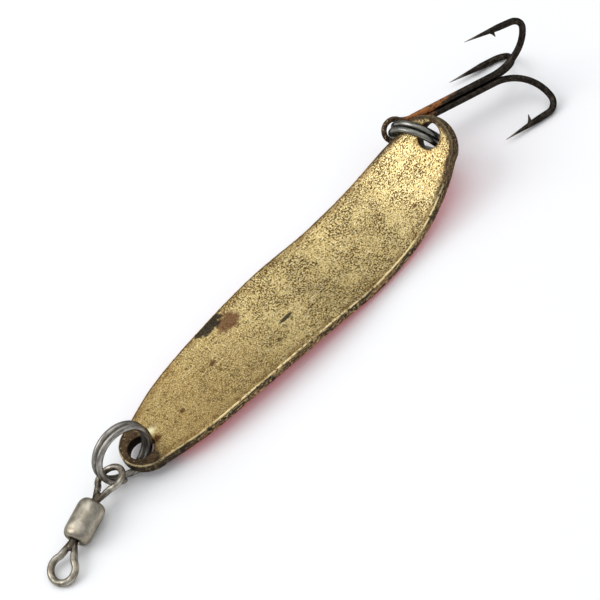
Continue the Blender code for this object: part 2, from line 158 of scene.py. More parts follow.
def smooth_path(knots, samples):
    """A centripetal Catmull-Rom curve through the knots, as an array of points."""
    knots = np.asarray(knots, float)
    ends = np.vstack([2 * knots[0] - knots[1], knots, 2 * knots[-1] - knots[-2]])
    points = []
    for a, b, c, d in zip(ends, ends[1:], ends[2:], ends[3:]):
        t = np.cumsum([0.0] + [math.sqrt(np.linalg.norm(q - p)) for p, q in ((a, b), (b, c), (c, d))])
        for u in np.linspace(t[1], t[2], samples, endpoint=False):
            ab = (t[1] - u) / (t[1] - t[0]) * a + (u - t[0]) / (t[1] - t[0]) * b
            bc = (t[2] - u) / (t[2] - t[1]) * b + (u - t[1]) / (t[2] - t[1]) * c
            cd = (t[3] - u) / (t[3] - t[2]) * c + (u - t[2]) / (t[3] - t[2]) * d
            left = (t[2] - u) / (t[2] - t[0]) * ab + (u - t[0]) / (t[2] - t[0]) * bc
            right = (t[3] - u) / (t[3] - t[1]) * bc + (u - t[1]) / (t[3] - t[1]) * cd
            points.append((t[2] - u) / (t[2] - t[1]) * left + (u - t[1]) / (t[2] - t[1]) * right)
    points.append(knots[-1])
    return np.array(points)


def from_axes(origin, x, y, z):
    matrix = Matrix(((x[0], y[0], z[0], 0), (x[1], y[1], z[1], 0), (x[2], y[2], z[2], 0), (0, 0, 0, 1)))
    matrix.translation = (Vector(origin) + Vector(LURE_ORIGIN)) * MM
    return matrix


def placed(origin, along, up):
    """A matrix whose X axis is along and whose Z axis is up, squared to it. The origin is on the lure."""
    x = unit(along)
    y = unit(np.cross(up, x))
    return from_axes(origin, x, y, np.cross(x, y))


def facing(origin, normal, toward):
    """A matrix whose Z axis is the normal and whose X axis is toward, squared to it."""
    z = unit(normal)
    y = unit(np.cross(z, toward))
    return from_axes(origin, np.cross(y, z), y, z)


def evaluated_mesh(made):
    """The closed mesh of a temporary object, which is then removed."""
    bpy.context.view_layer.update()
    graph = bpy.context.evaluated_depsgraph_get()
    mesh = bpy.data.meshes.new_from_object(made.evaluated_get(graph))
    bpy.data.objects.remove(made, do_unlink=True)
    shape = bmesh.new()
    shape.from_mesh(mesh)
    bmesh.ops.remove_doubles(shape, verts=shape.verts, dist=MERGE_DISTANCE)
    bmesh.ops.recalc_face_normals(shape, faces=shape.faces)
    shape.to_mesh(mesh)
    shape.free()
    return mesh


def linked(name, data):
    made = bpy.data.objects.new(name, data)
    bpy.context.scene.collection.objects.link(made)
    return made


def wire_mesh(points, radius, taper=None, sides=20):
    """A round wire along the points; taper is the radius at each point as a share of radius."""
    curve = bpy.data.curves.new("wire", "CURVE")
    curve.dimensions = "3D"
    curve.bevel_depth = radius * MM
    curve.bevel_resolution = sides // 2 - 2
    curve.use_fill_caps = True
    spline = curve.splines.new("POLY")
    spline.points.add(len(points) - 1)
    for index, point in enumerate(points):
        spline.points[index].co = (*(Vector(point) * MM), 1)
        spline.points[index].radius = 1.0 if taper is None else taper[index]
    return evaluated_mesh(linked("wire", curve))


def turned_mesh(profile, segments):
    """A profile of (x, radius), turned about the X axis. It ends on the axis or closes on itself."""
    shape = bmesh.new()
    ring = [shape.verts.new((x * MM, radius * MM, 0)) for x, radius in profile]
    ends = ring[1:] if profile[0][1] == 0 else ring[1:] + ring[:1]
    edges = [shape.edges.new(pair) for pair in zip(ring, ends)]
    bmesh.ops.spin(shape, geom=ring + edges, cent=(0, 0, 0), axis=(1, 0, 0), angle=math.tau, steps=segments)
    bmesh.ops.remove_doubles(shape, verts=shape.verts, dist=MERGE_DISTANCE)
    bmesh.ops.recalc_face_normals(shape, faces=shape.faces)
    mesh = bpy.data.meshes.new("turned")
    shape.to_mesh(mesh)
    shape.free()
    return mesh


def combined(base, others, operation):
    """The Boolean union or difference of the meshes."""
    body = linked("combined", base)
    helpers = []
    for other in others:
        helper = linked("combined_helper", other)
        step = body.modifiers.new("step", "BOOLEAN")
        step.operation = operation
        step.use_self = operation == "UNION"
        step.object = helper
        helpers.append(helper)
    mesh = evaluated_mesh(body)
    for helper in helpers:
        bpy.data.objects.remove(helper, do_unlink=True)
    return mesh


def coordinates(mesh):
    flat = np.zeros(len(mesh.vertices) * 3, np.float32)
    mesh.vertices.foreach_get("co", flat)
    return flat.reshape(-1, 3)


def store(mesh, values, name="place"):
    """Keeps one vector for each vertex, in millimetres, for the material's patterns to follow."""
    layer = mesh.attributes.new(name, "FLOAT_VECTOR", "POINT")
    layer.data.foreach_set("vector", np.ascontiguousarray(values, np.float32).ravel())


def with_place(mesh):
    """The mesh, with its own local coordinates as its place."""
    store(mesh, coordinates(mesh) / MM)
    return mesh


def put(mesh, name, node, body, matrix, finish):
    """Shows the mesh in place of the CAD node, riding on the node's body."""
    mesh.transform(matrix)
    made = linked(name, mesh)
    mesh.materials.clear()
    mesh.materials.append(finish)
    mesh.shade_smooth()
    mesh.set_sharp_from_angle(angle=EDGE_ANGLE)
    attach(made, body)
    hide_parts(node)


# ---------------------------------------------------------------- blade

SPINE_POINTS = smooth_path(SPINE, 24)
ARC = np.concatenate([[0.0], np.cumsum(np.linalg.norm(np.diff(SPINE_POINTS, axis=0), axis=1))])
SLOPE = np.arctan2(np.gradient(SPINE_POINTS[:, 1], ARC), np.gradient(SPINE_POINTS[:, 0], ARC))
BLADE_LENGTH = float(ARC[-1])
NOSE_HOLE = -NOSE_TIP
TAIL_HOLE = BLADE_LENGTH - TAIL_HOLE_TO_TIP
OUTLINE_STEPS = 560
INSET_LOOPS = 26
# Depths of the knocked surface's wide waves, small waves and pits, for a noise of 1.
WIDE_DENTS = 0.035
SMALL_DENTS = 0.010
PIT_DENTS = 0.05
# The level of the three-dimensional noise at which the wide waves are taken.
WIDE_DENTS_LAYER = -0.05
# How far from each tip the line lies on which the blank's loops close.
CENTRE_LINE_START = 4.6
CENTRE_LINE_END = 6.4


def blade_outline():
    """The blank's outline as (distance, half width) points, evenly spaced."""
    flank = smooth_path(FLANK, 12)
    nose_angle = math.pi - math.acos((NOSE_ROUND - flank[0, 0]) / NOSE_ROUND)
    tail_angle = math.asin(min(flank[-1, 1] / TAIL_ROUND, 1.0))
    nose = [(NOSE_ROUND * (1 + math.cos(a)), NOSE_ROUND * math.sin(a))
            for a in np.linspace(math.pi, nose_angle, 40)]
    tail = [(BLADE_LENGTH - TAIL_ROUND * (1 - math.cos(a)), TAIL_ROUND * math.sin(a))
            for a in np.linspace(tail_angle, 0.0, 40)]
    side = np.array(nose[:-1] + [tuple(p) for p in flank[1:-1]] + tail)
    loop = np.vstack([side, (side * (1, -1))[-2:0:-1], side[:1]])
    run = np.concatenate([[0.0], np.cumsum(np.linalg.norm(np.diff(loop, axis=0), axis=1))])
    even = np.linspace(0, run[-1], OUTLINE_STEPS, endpoint=False)
    return np.column_stack([np.interp(even, run, loop[:, 0]), np.interp(even, run, loop[:, 1])])


def blade_blank():
    """The flat blank as loops of vertices that shrink from the rim to the centre line, above and below."""
    outline = blade_outline()
    along = np.clip(outline[:, 0], CENTRE_LINE_START, BLADE_LENGTH - CENTRE_LINE_END)
    centre = np.column_stack([along, np.zeros(len(outline))])
    inward = centre - outline
    reach = np.linalg.norm(inward, axis=1)[:, None]
    inward = inward / reach
    wall_top = BLADE_THICKNESS / 2 - RIM_ROUND
    wall = [(0.0, level) for level in np.linspace(0, wall_top, 3, endpoint=False)]
    shoulder = [(RIM_ROUND * (1 - math.cos(a)), wall_top + RIM_ROUND * math.sin(a))
                for a in np.linspace(0, math.pi / 2, 6)]
    upper = [(outline + inward * inset, level) for inset, level in wall + shoulder]
    rounded = outline + inward * RIM_ROUND
    for share in np.linspace(0, 1, INSET_LOOPS)[1:]:
        upper.append((rounded + (centre - rounded) * share, BLADE_THICKNESS / 2))
    lower = [(points, -level) for points, level in upper[1:]]
    rows = [np.column_stack([points, np.full(len(points), level)]) for points, level in lower[::-1] + upper]
    shape = bmesh.new()
    grid = [[shape.verts.new(tuple(point * MM)) for point in row] for row in rows]
    for low, high in zip(grid, grid[1:]):
        for index in range(OUTLINE_STEPS):
            after = (index + 1) % OUTLINE_STEPS
            shape.faces.new((low[index], low[after], high[after], high[index]))
    bmesh.ops.remove_doubles(shape, verts=shape.verts, dist=3e-5)
    bmesh.ops.recalc_face_normals(shape, faces=shape.faces)
    mesh = bpy.data.meshes.new("blank")
    shape.to_mesh(mesh)
    shape.free()
    return mesh


def hole_cutter(station):
    """A pin with flared ends, which leaves rounded lips above and below the hole."""
    half = BLADE_THICKNESS / 2
    flare = [(half - HOLE_LIP * (1 - math.sin(a)), HOLE_RADIUS + HOLE_LIP * (1 - math.cos(a)))
             for a in np.linspace(0, math.pi / 2, 5)]
    upper = [*flare, (half + 0.5, HOLE_RADIUS + HOLE_LIP + 0.1), (half + 0.5, 0.0)]
    profile = [(-x, radius) for x, radius in upper[::-1]] + upper
    mesh = turned_mesh(profile, 48)
    mesh.transform(Matrix.Translation((station * MM, 0, 0)) @ Matrix.Rotation(-math.pi / 2, 4, "Y"))
    return mesh


def dents(place):
    """How far the knocked surface lies below the true one, for each blank point."""
    depth = np.zeros(len(place))
    for index, (u, v, h) in enumerate(place):
        wide = noise.noise(Vector((u * 0.11, v * 0.16, WIDE_DENTS_LAYER)))
        small = noise.noise(Vector((u * 0.55, v * 0.6, 7.7 + h)))
        pits = max(noise.noise(Vector((u * 1.3, v * 1.3, 11.0 + 0.5 * h))) - 0.34, 0.0)
        depth[index] = WIDE_DENTS * wide + SMALL_DENTS * small + PIT_DENTS * pits
    return depth


def blade_mesh():
    """The blank, pierced, knocked, cupped and bent, with its flat places and its distances to the edges."""
    mesh = combined(blade_blank(), [hole_cutter(NOSE_HOLE), hole_cutter(TAIL_HOLE)], "DIFFERENCE")
    flat = coordinates(mesh) / MM
    u, v, h = flat[:, 0], flat[:, 1], flat[:, 2] + BLADE_THICKNESS / 2
    place = np.column_stack([u, v, h])
    outline = blade_outline()
    to_rim = np.array([np.hypot(outline[:, 0] - a, outline[:, 1] - b).min() for a, b in flat[:, :2]])
    to_hole = np.minimum(np.hypot(u - NOSE_HOLE, v), np.hypot(u - TAIL_HOLE, v)) - HOLE_RADIUS
    on_top = h > BLADE_THICKNESS / 2
    knocks = dents(place)
    level = h - np.where(on_top, knocks, -0.5 * knocks) * np.clip(np.abs(flat[:, 2]) - 0.4, 0, 0.6) / 0.6
    from_end = np.clip(np.minimum(u, BLADE_LENGTH - u) / CUP_FADE, 0, 1)
    cup = CUP_DEPTH * (0.25 + 0.75 * from_end ** 2 * (3 - 2 * from_end))
    slope = np.interp(u, ARC, SLOPE)
    lift = level - BLADE_THICKNESS + cup * (v / CUP_HALF_WIDTH) ** 2
    x = np.interp(u, ARC, SPINE_POINTS[:, 0]) - lift * np.sin(slope)
    z = np.maximum(np.interp(u, ARC, SPINE_POINTS[:, 1]) + lift * np.cos(slope), 0.0)
    worn = np.array([noise.noise(Vector((a * 0.9, b * 0.9, c * 0.6))) for a, b, c in place])
    near_wall = np.clip(1 - np.abs(h - BLADE_THICKNESS / 2) / BLADE_THICKNESS, 0, 1)
    across = v * (1 - 0.004 * near_wall * np.clip(worn, -0.2, 1))
    mesh.vertices.foreach_set("co", (np.column_stack([x, across, z]) * MM).astype(np.float32).ravel())
    mesh.update()
    store(mesh, place)
    store(mesh, np.column_stack([to_rim, to_hole, np.zeros(len(u))]), "edges")
    return mesh


# ---------------------------------------------------------------- wire pieces

def split_ring_mesh(start_angle):
    """Two turns in the local XY plane. The free ends lie RING_JOG degrees each side of start_angle."""
    layer = (RING_WIRE + RING_LAYER_GAP) / 2
    points, taper = [], []
    for turn in np.linspace(RING_JOG, 720 - RING_JOG, 260):
        share = min(max(((turn - 360) / RING_JOG + 1) / 2, 0.0), 1.0)
        height = layer * (2 * share * share * (3 - 2 * share) - 1)
        angle = math.radians(start_angle + turn)
        points.append((RING_RADIUS * math.cos(angle), RING_RADIUS * math.sin(angle), height))
        from_end = min(turn - RING_JOG, 720 - RING_JOG - turn)
        taper.append(RING_END_SHARE + (1 - RING_END_SHARE) * min(from_end / RING_END_TAPER, 1.0))
    mesh = wire_mesh(points, RING_WIRE / 2, taper, 24)
    # The patterns are long along the wire and narrow across it, as on drawn wire.
    local = coordinates(mesh) / MM
    angle = np.arctan2(local[:, 1], local[:, 0])
    store(mesh, np.column_stack([np.cos(angle) * 4, np.sin(angle) * 4,
                                 6 * (np.hypot(local[:, 0], local[:, 1]) - RING_RADIUS) + 9 * local[:, 2]]))
    return mesh


def swivel_eye_mesh(reach, lean, drop, thickness):
    """A wire eye in the local XY plane. Its wire ends run down the X axis, through the neck, into a head."""
    mouth = BARREL_LENGTH / 2
    loop = [(reach - SWIVEL_LOOP_RADIUS * math.cos(a), SWIVEL_LOOP_RADIUS * math.sin(a), 0)
            for a in np.linspace(EYE_TURN_IN, math.tau - EYE_TURN_IN, 72)]
    lead = smooth_path([(mouth - 0.6, 0.3, 0), (mouth + 0.4, 0.42, 0), loop[0], loop[3]], 12)[:-13]
    points = np.vstack([lead, loop, (lead * (1, -1, 1))[::-1]])
    past_mouth = np.maximum(points[:, 0] - mouth - 0.2, 0)
    points[:, 1] += math.tan(lean) * past_mouth
    points[:, 2] += math.tan(drop) * past_mouth
    full_share = np.clip((points[:, 0] - mouth - 0.3) / 2, 0.0, 1.0)
    shares = EYE_NECK_WIRE_SHARE + (1 - EYE_NECK_WIRE_SHARE) * full_share
    head = [(0.9, 0.0), (0.9, 1.2), (1.2, HEAD_RADIUS), (1.9, HEAD_RADIUS), (2.4, NECK_RADIUS)]
    neck = [(mouth + 1.1, NECK_RADIUS), (mouth + 1.5, 0.68), (mouth + 1.85, 0.45)]
    neck_end = [(mouth + 1.95, 0.2), (mouth + 1.95, 0.0)]
    stem = turned_mesh(head + neck + neck_end, 40)
    return with_place(combined(stem, [wire_mesh(points, thickness / 2, shares)], "UNION"))


def barrel_mesh():
    """The barrel, with the slight flats and the crimp dimples that pressing it onto the wires leaves."""
    half = BARREL_LENGTH / 2
    inner = BARREL_RADIUS - BARREL_WALL
    shoulder = []
    for turn in np.linspace(0, math.pi / 2, 14):
        station = half - SHOULDER_LENGTH * (1 - math.sin(turn))
        shoulder.append((station, BARREL_RADIUS - SHOULDER_DEPTH * (1 - math.cos(turn))))
    side = [(x, BARREL_RADIUS) for x in np.linspace(0.25, half - 1.9, 7)]
    mouth = [(half - 0.06, MOUTH_RADIUS + 0.06), (half - 0.14, MOUTH_RADIUS), (half - 0.7, MOUTH_RADIUS)]
    right = side + shoulder[:-1] + [(half, 1.35), *mouth, (half - 1.1, inner)]
    left = [(-x, radius) for x, radius in reversed(right)]
    mesh = with_place(turned_mesh(right + left, 96))
    local = coordinates(mesh) / MM
    angle = np.arctan2(local[:, 2], local[:, 1])
    radius = np.hypot(local[:, 1], local[:, 2])
    outside = np.clip((radius - inner) / (BARREL_RADIUS - inner), 0, 1)
    sunk = FLAT_DEPTH * (1 - np.cos(FLATS * angle)) / 2
    for station, dimple_angle in DIMPLES:
        off_angle = np.angle(np.exp(1j * (angle - dimple_angle))) / DIMPLE_ANGLE
        off_station = (local[:, 0] - station) / DIMPLE_LENGTH
        sunk = sunk + DIMPLE_DEPTH * np.exp(-off_angle ** 2 - off_station ** 2)
    shrink = (1 - outside * sunk / BARREL_RADIUS)[:, None]
    moved = np.column_stack([local[:, :1], local[:, 1:] * shrink]) * MM
    mesh.vertices.foreach_set("co", moved.astype(np.float32).ravel())
    mesh.update()
    return mesh


def hook_profile(opening):
    """One hook as (along the shank, away from its axis) points: its wide arc, its tight arc and its point."""
    wide = [(GAPE_ARC * math.sin(a), GAPE_ARC * (1 - math.cos(a))) for a in np.linspace(0, GAPE_TURN, 40)]
    along = (GAPE_ARC - POINT_ARC) * math.sin(GAPE_TURN)
    away = GAPE_ARC - (GAPE_ARC - POINT_ARC) * math.cos(GAPE_TURN)
    tight = [(along + POINT_ARC * math.sin(a), away - POINT_ARC * math.cos(a))
             for a in np.linspace(GAPE_TURN, math.pi - POINT_FLARE, 28)[1:]]
    start = tight[-1]
    leg = [(start[0] - s * math.cos(POINT_FLARE), start[1] + s * math.sin(POINT_FLARE))
           for s in np.linspace(0, POINT_LENGTH, 34)[1:]]
    turn = np.array([[math.cos(opening), -math.sin(opening)], [math.sin(opening), math.cos(opening)]])
    return [np.array(part) @ turn.T + (SHANK_END, WIRE_SPREAD) for part in (wide, tight, leg)]


def out_from_shank(azimuth):
    return np.array([0.0, math.cos(azimuth), math.sin(azimuth)])


def hook_side(hook):
    """One hook from the shank's end to its point, as points and as wire radius shares."""
    azimuth, opening = hook
    wide, tight, leg = hook_profile(opening)
    profile = np.vstack([wide, tight, leg])
    points = profile[:, :1] * (1, 0, 0) + profile[:, 1:] * out_from_shank(azimuth)
    to_tip = np.linalg.norm(leg - leg[-1], axis=1)
    shares = [1.0] * (len(wide) + len(tight)) + [min(0.06 + 0.94 * d / POINT_TAPER, 1.0) for d in to_tip]
    return points, shares


def barb_mesh(hook):
    """A thin cut barb on the inner side of the point, which curls back towards the bend."""
    azimuth, opening = hook
    leg = hook_profile(opening)[2]
    back = unit(leg[0] - leg[-1])
    inward = np.array([back[1], -back[0]])
    out = out_from_shank(azimuth)
    across = np.cross((1, 0, 0), out)
    shape = bmesh.new()
    rows = []
    # share runs from the barb's root, just inside the wire, to its free edge.
    for share in np.linspace(0, 1, 9):
        depth = 0.1 + (BARB_HEIGHT - 0.1) * share
        front, rear = -1.4 + 1.7 * share ** 0.6, 0.1 + 0.35 * share
        aside = 0.28 * (1 - share) + 0.05 * share
        row = []
        for from_tip, side in ((front, -aside), (front, aside), (rear, aside), (rear, -aside)):
            along, away = leg[-1] + back * (BARB_FROM_TIP + from_tip) + inward * depth
            row.append(shape.verts.new(tuple((np.array([along, 0, 0]) + away * out + side * across) * MM)))
        rows.append(row)
    shape.faces.new(rows[0])
    shape.faces.new(rows[-1][::-1])
    for low, high in zip(rows, rows[1:]):
        for index in range(4):
            after = (index + 1) % 4
            shape.faces.new((low[index], high[index], high[after], low[after]))
    bmesh.ops.recalc_face_normals(shape, faces=shape.faces)
    mesh = bpy.data.meshes.new("barb")
    shape.to_mesh(mesh)
    shape.free()
    return mesh


def double_hook_mesh():
    """The wire from one point round the eye to the other. Local X is the shank, the eye is at the origin."""
    half_pitch = (HOOK_WIRE + HOOK_WIRE_GAP) / 2
    middle = (UP_HOOK[0] + RIGHT_HOOK[0]) / 2
    out = out_from_shank(middle)
    across = np.cross((1, 0, 0), out)

    def eye_point(along, aside):
        return np.array([along, 0, 0]) + out * WIRE_SPREAD / 2 - across * aside

    def shank_to_eye(side, first, second):
        """One wire down the shank and up to the eye's first point. side is 1 or -1."""
        shank = [eye_point(x, side * (half_pitch + aside))
                 for x, aside in ((SHANK_END - 6, 0.0), (4.4, 0.0), (3.2, 0.08))]
        return smooth_path([*shank, first, second], 12)[:-13]

    loop = [eye_point(HOOK_EYE_RADIUS * math.cos(a), HOOK_EYE_RADIUS * math.sin(a))
            for a in np.linspace(HOOK_EYE_TURN_IN, math.tau - HOOK_EYE_TURN_IN, 60)]
    lead = shank_to_eye(1, loop[0], loop[3])
    tail = shank_to_eye(-1, loop[-1], loop[-4])[::-1]
    first_side, first_share = hook_side(UP_HOOK)
    second_side, second_share = hook_side(RIGHT_HOOK)
    middle_points = np.vstack([lead, loop, tail])
    eye_share = [HOOK_EYE_WIRE_SHARE + (1 - HOOK_EYE_WIRE_SHARE) * min(max((x - 2.5) / 3, 0.0), 1.0)
                 for x in middle_points[:, 0]]
    points = np.vstack([first_side[::-1], middle_points, second_side])
    shares = first_share[::-1] + eye_share + second_share
    wire = wire_mesh(points, HOOK_WIRE / 2, shares)
    return with_place(combined(wire, [barb_mesh(UP_HOOK), barb_mesh(RIGHT_HOOK)], "UNION"))


def single_hook_mesh():
    """The third hook, whose shank starts just behind the eye with a filed end."""
    side, share = hook_side(LEFT_HOOK)
    start = side[0] - np.array([SHANK_END - SINGLE_SHANK_START, 0, 0])
    shank = np.linspace(start, side[0], 24, endpoint=False)
    taper = [min(0.7 + 0.3 * index / 3, 1.0) for index in range(24)]
    points = np.vstack([shank, side])
    wire = wire_mesh(points, HOOK_WIRE / 2, taper + share)
    return with_place(combined(wire, [barb_mesh(LEFT_HOOK)], "UNION"))


def braze_mesh():
    """The tapered bead of braze in the valley between the two shanks, in front of the third shank's end."""
    side = out_from_shank(LEFT_HOOK[0])
    end = SINGLE_SHANK_START - 0.2
    steps = np.linspace(0, BRAZE_LENGTH, 24)
    points = [np.array([end - s, 0, 0]) + (WIRE_SPREAD + 0.05) * side for s in steps]
    shares = [(1 - 0.7 * (s / BRAZE_LENGTH) ** 2) * (1 + 0.05 * math.sin(7 * s)) for s in steps]
    return with_place(wire_mesh(points, BRAZE_RADIUS, shares))


# ---------------------------------------------------------------- materials

# Dull plating reflects little at a grazing angle, worn gold a little more.
EDGE_TINT = (0.3, 0.3, 0.3, 1.0)
GOLD_EDGE_TINT = (0.55, 0.5, 0.42, 1.0)


def srgb(red, green, blue):
    """A colour given in 0 to 255 display values, as linear red, green, blue and alpha."""
    shares = [value / 255 for value in (red, green, blue)]
    linear = [share / 12.92 if share <= 0.04045 else ((share + 0.055) / 1.055) ** 2.4 for share in shares]
    return (*linear, 1.0)


# Plated steels, each as (light, dark, warm) colours.
NOSE_RING_STEEL = (srgb(176, 171, 164), srgb(112, 108, 102), srgb(142, 129, 114))
TAIL_RING_STEEL = (srgb(164, 163, 155), srgb(90, 89, 84), srgb(120, 117, 108))
BARREL_NICKEL = (srgb(188, 181, 166), srgb(150, 142, 127), srgb(172, 158, 134))
EYE_NICKEL = (srgb(190, 184, 170), srgb(122, 115, 103), srgb(156, 142, 122))


class Finish:
    """One material and short names for the nodes that its patterns are made from."""

    def __init__(self, name):
        self.material = bpy.data.materials.new(name)
        self.material.use_nodes = True
        self.tree = self.material.node_tree
        self.shader = self.tree.nodes["Principled BSDF"]
        self.place = self.add("ShaderNodeAttribute", attribute_name="place").outputs["Vector"]
        parts = self.add("ShaderNodeSeparateXYZ", {0: self.place})
        self.x, self.y, self.z = parts.outputs

    def add(self, kind, sockets=None, **settings):
        made = self.tree.nodes.new(kind)
        for key, value in settings.items():
            setattr(made, key, value)
        for key, value in (sockets or {}).items():
            self.feed(made.inputs[key], value)
        return made

    def feed(self, socket, value):
        if isinstance(value, bpy.types.NodeSocket):
            self.tree.links.new(value, socket)
        else:
            socket.default_value = value

    def math(self, operation, a, b=0.0):
        return self.add("ShaderNodeMath", {0: a, 1: b}, operation=operation).outputs[0]

    def times(self, *values):
        total = values[0]
        for value in values[1:]:
            total = self.math("MULTIPLY", total, value)
        return total

    def plus(self, *values):
        total = values[0]
        for value in values[1:]:
            total = self.math("ADD", total, value)
        return total

    def most(self, *values):
        total = values[0]
        for value in values[1:]:
            total = self.math("MAXIMUM", total, value)
        return total

    def rest_of(self, share):
        return self.math("SUBTRACT", 1.0, share)

    def fade(self, value, low, high, to_low=0.0, to_high=1.0):
        """Runs smoothly from to_low to to_high as value runs from low to high."""
        sockets = {"Value": value, "From Min": low, "From Max": high, "To Min": to_low, "To Max": to_high}
        return self.add("ShaderNodeMapRange", sockets, interpolation_type="SMOOTHSTEP").outputs[0]

    def noise(self, scale, detail=3.0, rough=0.55, stretch=(1, 1, 1), turn=0.0, shift=0.0, bend=0.0):
        """A noise of scale cells a millimetre, stretched and turned about the local Z axis."""
        sockets = {"Vector": self.place, "Location": (shift, shift * 1.7, shift * 0.6),
                   "Rotation": (0, 0, turn), "Scale": stretch}
        where = self.add("ShaderNodeMapping", sockets).outputs[0]
        sockets = {"Vector": where, "Scale": scale, "Detail": detail, "Roughness": rough, "Distortion": bend}
        return self.add("ShaderNodeTexNoise", sockets).outputs[0]

    def patches(self, low, high, *noise_values, **noise_settings):
        """1 where the noise is past high and 0 where it is short of low."""
        return self.fade(self.noise(*noise_values, **noise_settings), low, high)

    def sway(self, amount, *noise_values, **noise_settings):
        """A noise that runs to both sides of zero, times amount."""
        centred = self.math("SUBTRACT", self.noise(*noise_values, **noise_settings), 0.5)
        return self.times(centred, amount)

    def mix(self, share, a, b):
        made = self.add("ShaderNodeMix", data_type="RGBA")
        for index, value in ((0, share), (6, a), (7, b)):
            self.feed(made.inputs[index], value)
        return made.outputs[2]

    def coat(self, under, colour, *shares):
        """Lays the colour over what is under it, as strongly as the shares say when multiplied."""
        return self.mix(self.times(*shares), under, colour)

    def spot(self, centre, size, soft, ragged=0.5):
        """A ragged spot on the blade. centre and size are (along, across) pairs."""
        sockets = {0: self.place, 1: (*centre, 0.0)}
        off = self.add("ShaderNodeVectorMath", sockets, operation="SUBTRACT").outputs[0]
        sockets = {0: off, 1: (1 / size[0], 1 / size[1], 0.0)}
        scaled = self.add("ShaderNodeVectorMath", sockets, operation="MULTIPLY").outputs[0]
        length = self.add("ShaderNodeVectorMath", {0: scaled}, operation="LENGTH").outputs["Value"]
        edge = self.plus(length, self.sway(ragged * 2, 1.1, 4))
        return self.fade(edge, 1.0 + soft, 1.0 - soft)

    def finish(self, colour, metallic, roughness, height, depth, **uniform):
        """Wires up the shader. height is 0 to 1 and depth is its full height in millimetres."""
        self.feed(self.shader.inputs["Base Color"], colour)
        self.feed(self.shader.inputs["Metallic"], metallic)
        self.feed(self.shader.inputs["Roughness"], roughness)
        bump = self.add("ShaderNodeBump", {"Height": height, "Distance": depth * MM, "Strength": 1.0})
        self.feed(self.shader.inputs["Normal"], bump.outputs[0])
        for key, value in uniform.items():
            self.shader.inputs[key.replace("_", " ")].default_value = value
        return self.material


